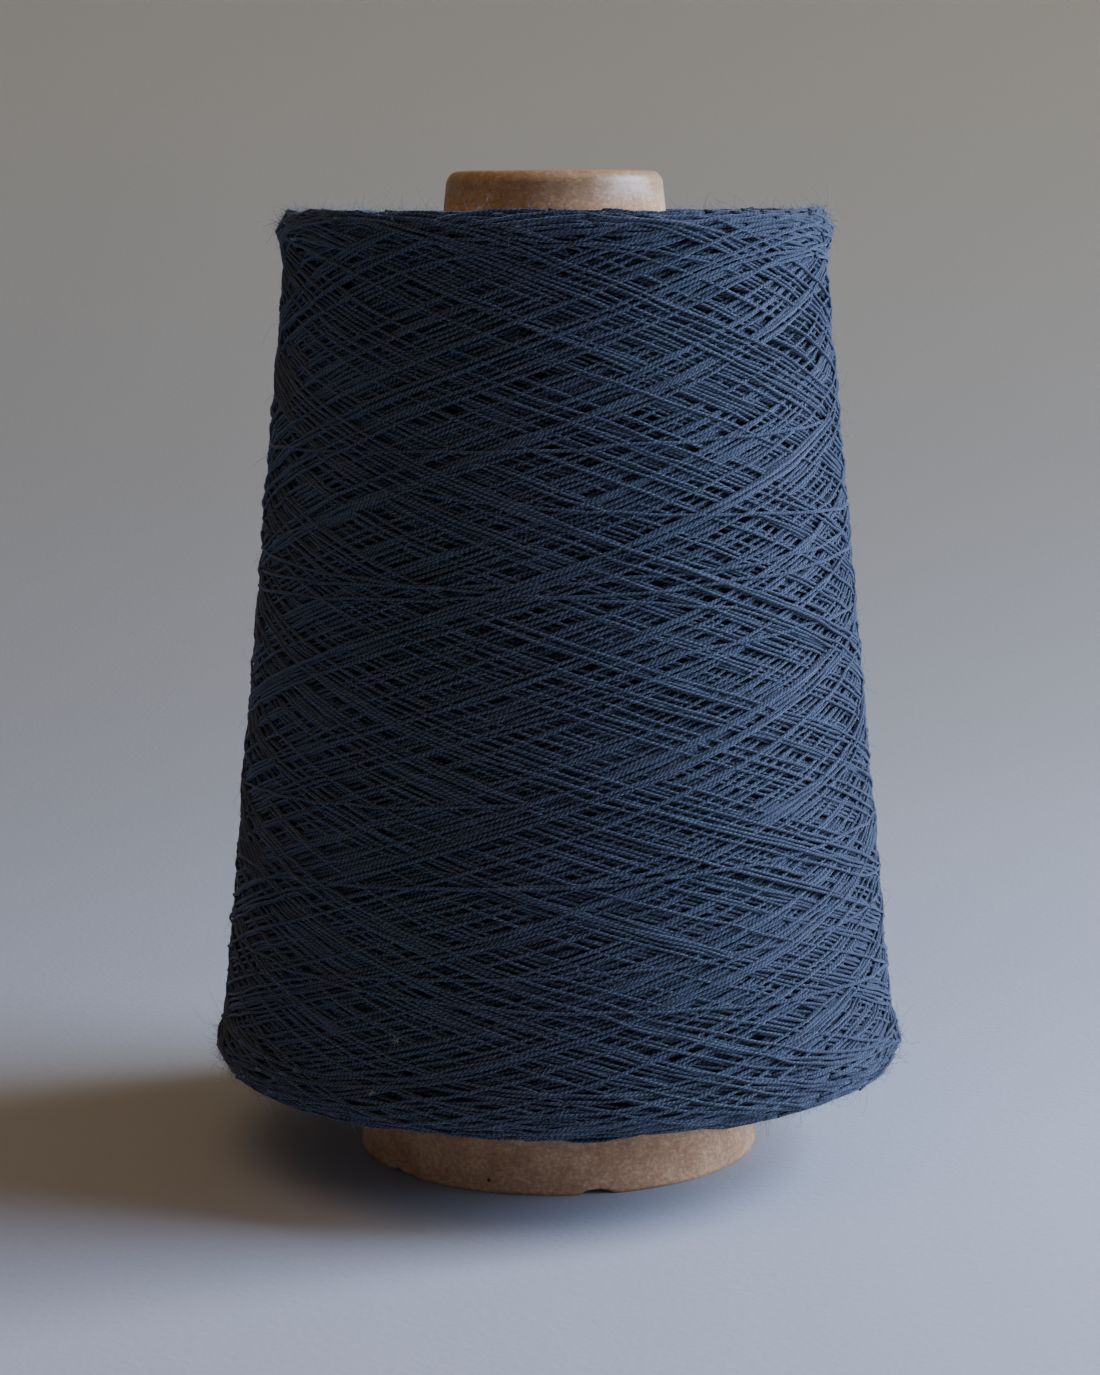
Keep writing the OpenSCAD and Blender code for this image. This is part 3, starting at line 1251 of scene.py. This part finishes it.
@dataclass
class PaperCone:
    """The paper cone: five layers of board with a common shape, rolled in at the nose."""

    cone: ConeSizes
    columns: int = 288
    core_every: int = 3
    gap: float = 0.015 * MM
    waves: float = 0.05 * MM
    nose_waves: float = 0.03 * MM
    seam_turn: float = math.radians(118)
    seam_fade: float = math.radians(50)
    seam_step: float = 0.16 * MM
    chip_degrees: float = -79.5
    spot_turn: float = math.radians(-110)
    spot_height: float = 2.1 * MM

    def build(self) -> None:
        """Makes the five layers and dresses them."""
        looks = {
            "finish_ply": KraftBoard(
                "kraft board, outer layer",
                "#9e7456",
                "#c4976d",
                "#e4be94",
                roughness=0.86,
                rubbed_above=self.cone.length - 6 * MM,
                spot=self._spot(),
            ),
            "liner_ply": KraftBoard("smooth kraft liner", "#977353", "#b99470", "#cfae8b", 0.72, 1.0),
        }
        core = KraftBoard("grey-brown core board", "#8a6a52", "#ab8a6e", "#c2a488", 0.95, 1.0).build()
        finishes = {node: board.build() for node, board in looks.items()}
        slots = {"finish_ply": "board_finish", "liner_ply": "board_liner"}
        for number, node in enumerate(BOARD_PLIES):
            grid = self._layer(self.cone.ply_depths[number], self.cone.ply_depths[number + 1], number == 0)
            if node not in finishes:
                grid = grid[:, :: self.core_every]
            piece = lathe(grid).make(node + "_board", finishes.get(node, core))
            place(piece, slots.get(node, "board_core"), node)

    def _spot(self) -> tuple[float, float, float]:
        """Centre of the small pinhole on the base's outside, whose inside is painted dark as shade."""
        r, z = self.cone.place(0.0, self.spot_height / math.cos(self.cone.half_angle))
        return (r * math.cos(self.spot_turn), r * math.sin(self.spot_turn), z)

    def _side(self, depth: float) -> tuple[Array, Array]:
        """One face of a layer as radius and height, from the base rim to the tuck.

        It is the slope, close-stepped near the rim, then the roll over the nose, then the straight
        tuck inside.
        """
        cone = self.cone
        foot = np.arange(0, 16, 0.8) * MM + depth * math.tan(cone.half_angle)
        s = np.concatenate((foot, np.linspace(18 * MM, cone.slope_length, 14)))
        slope_r, slope_z = cone.place(np.full(len(s), -depth), s)
        slope_z[0] = 0.0
        turn = np.linspace(cone.half_angle, math.pi, 15)[1:]
        roll_r = cone.roll_x + (cone.roll_r - depth) * np.cos(turn)
        roll_z = cone.roll_z + (cone.roll_r - depth) * np.sin(turn)
        down = np.linspace(0, cone.tuck, 7)[1:]
        r = np.concatenate((slope_r, roll_r, np.full(len(down), roll_r[-1])))
        z = np.concatenate((slope_z, roll_z, cone.roll_z - down))
        return r, z

    def _layer(self, outer: float, inner: float, outermost: bool) -> Array:
        """Points of one layer: its two faces joined at the rim and at the tuck's end.

        Args:
            outer: Depth of its outer face below the cone's surface.
            inner: Depth of its inner face.
            outermost: True for the layer whose glued edge shows.

        Returns:
            A grid of points for lathe.
        """
        rng = np.random.default_rng(SEED + 7)
        turn = spokes(self.columns)
        out_r, out_z = self._side(outer + self.gap)
        in_r, in_z = self._side(inner - self.gap)
        r = np.concatenate((out_r, in_r[::-1]))[:, None] + np.zeros(self.columns)
        z = np.concatenate((out_z, in_z[::-1]))[:, None] + np.zeros(self.columns)
        on_outside = (np.arange(len(r)) < len(out_r))[:, None]
        broad = smooth_noise(rng, self.columns, 22)
        fine = smooth_noise(rng, self.columns, 4)
        edge = np.clip(1 - z / (8 * MM), 0, 1)
        r = r + self.waves * broad[None] + self.waves * fine[None] * edge
        nose = np.clip((z - (self.cone.roll_z - 2 * MM)) / (4 * MM), 0, 1)
        r = r + self.nose_waves * smooth_noise(rng, self.columns, 2.5)[None] * nose
        if outermost:
            past = np.mod(turn - self.seam_turn, 2 * math.pi)
            rise = self.seam_step * np.clip(1 - past / self.seam_fade, 0, 1)
            r = r + np.where(on_outside & (z < self.cone.roll_z), rise[None], 0.0)
        z, r = self._worn_edge(r, z, turn, rng)
        return around(r, turn, z)

    def _worn_edge(self, r: Array, z: Array, turn: Array, rng: np.random.Generator) -> tuple[Array, Array]:
        """Chips the base rim: a shallow dent at the front, small nicks, and a slightly rounded edge."""
        reach = np.clip(1 - z / (3.0 * MM), 0, 1) ** 1.5

        def notch(middle: float, half: float, power: float) -> Array:
            """A notch round the rim, 1 at its middle angle in degrees. A higher power is squarer."""
            off = np.angle(np.exp(1j * (turn - math.radians(middle)))) / math.radians(half)
            return np.exp(-(np.abs(off) ** power))

        dent = 0.8 * MM * notch(self.chip_degrees, 4.2, 4.0)
        nicks = 0.7 * MM * notch(-142, 2.4, 2.0) + 0.45 * MM * notch(-136, 1.6, 2.0)
        wear = 0.05 * MM * np.clip(smooth_noise(rng, self.columns, 5), 0, None)
        z = z + (dent + nicks + wear)[None] * reach
        r = r - (0.5 * dent + 0.3 * nicks)[None] * reach
        return z, r


# ---------------------------------------------------------------------------------------------
# Stage
# ---------------------------------------------------------------------------------------------


@dataclass
class Studio:
    """A wide bowl of pale paper, a large cool window at the right and a warm dim room."""

    floor_r: float = 0.30
    bowl_r: float = 1.25
    sensor_mm: float = 36.0
    lens_mm: float = 81.4
    camera_at: tuple[float, float, float] = (-1.2 * MM, -0.537, 0.164)
    tilt_degrees: float = 8.8
    roll_degrees: float = -0.28

    def camera(self) -> None:
        """Makes the camera: a long lens, a little above the nose and tilted down."""
        data = bpy.data.cameras.new("camera")
        data.sensor_width = self.sensor_mm
        data.lens = self.lens_mm
        camera = add_object("camera", data)
        camera.location = self.camera_at
        camera.rotation_euler = (math.radians(90 - self.tilt_degrees), 0.0, 0.0)
        camera.rotation_euler.rotate_axis("Z", math.radians(self.roll_degrees))
        bpy.context.scene.camera = camera

    def build(self) -> None:
        """Makes the bowl, the lights and the room's dim light."""
        self._bowl()
        self._area("window", (0.70, -0.01, 0.40), (0.0, -0.14, 0.05), 0.58, 16.4, "#c3d5fd")
        self._area("room_fill", (-0.3, -0.4, 1.15), (0.0, 0.0, 0.0), 0.8, 1.8, "#ffdcae")
        self._area("wall_wash", (1.25, 0.45, 0.95), (0.5, 1.3, 0.35), 0.7, 14.4, "#f1f1ee")
        world = bpy.data.worlds.new("room")
        bpy.context.scene.world = world
        world.use_nodes = True
        background = world.node_tree.nodes["Background"]
        background.inputs["Color"].default_value = linear("#f4c48c")
        background.inputs["Strength"].default_value = 0.15

    def _bowl(self) -> None:
        """A flat round floor that curves up evenly all round, so that no side is hidden."""
        columns = 128
        rim = np.linspace(0.0, self.floor_r, 5)[1:]
        climb = np.linspace(0.0, math.radians(80), 40)[1:]
        r = np.concatenate((rim, self.floor_r + self.bowl_r * np.sin(climb)))
        z = np.concatenate((np.zeros(len(rim)), self.bowl_r * (1 - np.cos(climb))))
        grid = around(r[:, None], spokes(columns), z[:, None])
        index = np.arange(len(r) * columns).reshape(len(r), columns)
        over = np.roll(index, -1, axis=1)
        quads = np.stack((index[:-1], over[:-1], over[1:], index[1:]), axis=-1).reshape(-1, 4)[:, ::-1]
        MeshParts(grid.reshape(-1, 3), quads, [index[:1]]).make("bowl", self._paper())

    def _paper(self) -> bpy.types.Material:
        """Background paper: pale grey, quite matte, with a very fine tooth. Its colour holds painted light
        and shade for the lamps' falloff, and painted shade that makes it darker far out at the left.
        """
        material, tree, shader = new_material("background paper")
        where = add_node(tree, "ShaderNodeTexCoord").outputs["Object"]
        climb = {0: where, 1: (0.0, 0.8, 0.9)}
        back = add_node(tree, "ShaderNodeVectorMath", climb, operation="DOT_PRODUCT").outputs["Value"]
        # Painted light and shade by distance back and up the bowl: lighter and cooler in front, darker and
        # warmer behind, lighter again high up.
        painted_falloff_stops = ((0.0, "#bdc1c8"), (0.1, "#adb1b6"), (0.34, "#a7a8a7"), (0.6, "#a6a6a0"), (1.0, "#b2b0a4"))
        painted_falloff = ramp(tree, back, [(position, linear(colour)) for position, colour in painted_falloff_stops])
        # Painted shade: far out at the left the paper darkens to a third of its colour, standing in for a dim
        # side of the room.
        sides = add_node(tree, "ShaderNodeSeparateXYZ", {0: where}).outputs["X"]
        across = add_node(tree, "ShaderNodeMapRange", {"Value": sides, "From Min": -0.85, "From Max": 0.35})
        shares = [(0.0, (0.3, 0.3, 0.3, 1.0)), (0.4, (0.87, 0.86, 0.84, 1.0)), (1.0, (1.0, 1.0, 1.0, 1.0))]
        lit = ramp(tree, across.outputs[0], shares)
        dimmed = add_node(tree, "ShaderNodeVectorMath", {0: painted_falloff, 1: lit}, operation="MULTIPLY").outputs[0]
        tooth = bump(tree, noise(tree, where, Scale=700.0, Detail=3.0), 0.22, 0.4 * MM)
        wire(tree, shader, {"Base Color": dimmed, "Roughness": 0.9, "Normal": tooth})
        return material

    def _area(self, name: str, place_at: tuple, aim: tuple, size: float, power: float, colour: str) -> None:
        """Adds a square light at a place, facing a point."""
        data = bpy.data.lights.new(name, "AREA")
        data.shape = "SQUARE"
        data.size = size
        data.energy = power
        data.color = linear(colour)[:3]
        light = add_object(name, data)
        light.location = place_at
        light.visible_camera = False
        light.rotation_euler = (Vector(aim) - Vector(place_at)).to_track_quat("-Z", "Y").to_euler()


def main() -> None:
    """Builds the camera, the studio, the paper cone and the yarn, in that order."""
    logging.basicConfig(level=logging.INFO, format="%(name)s: %(message)s")
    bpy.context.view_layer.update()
    studio = Studio()
    studio.camera()
    studio.build()
    cone = ConeSizes.from_frame()
    sizes = PackageSizes.from_frame(cone)
    LOG.info("half angle %.3f degrees, package %s", math.degrees(cone.half_angle), sizes)
    PaperCone(cone).build()
    YarnPackage(Outline(cone, sizes), YarnSizes(), Traverse()).build()


if __name__ == "__main__":
    main()
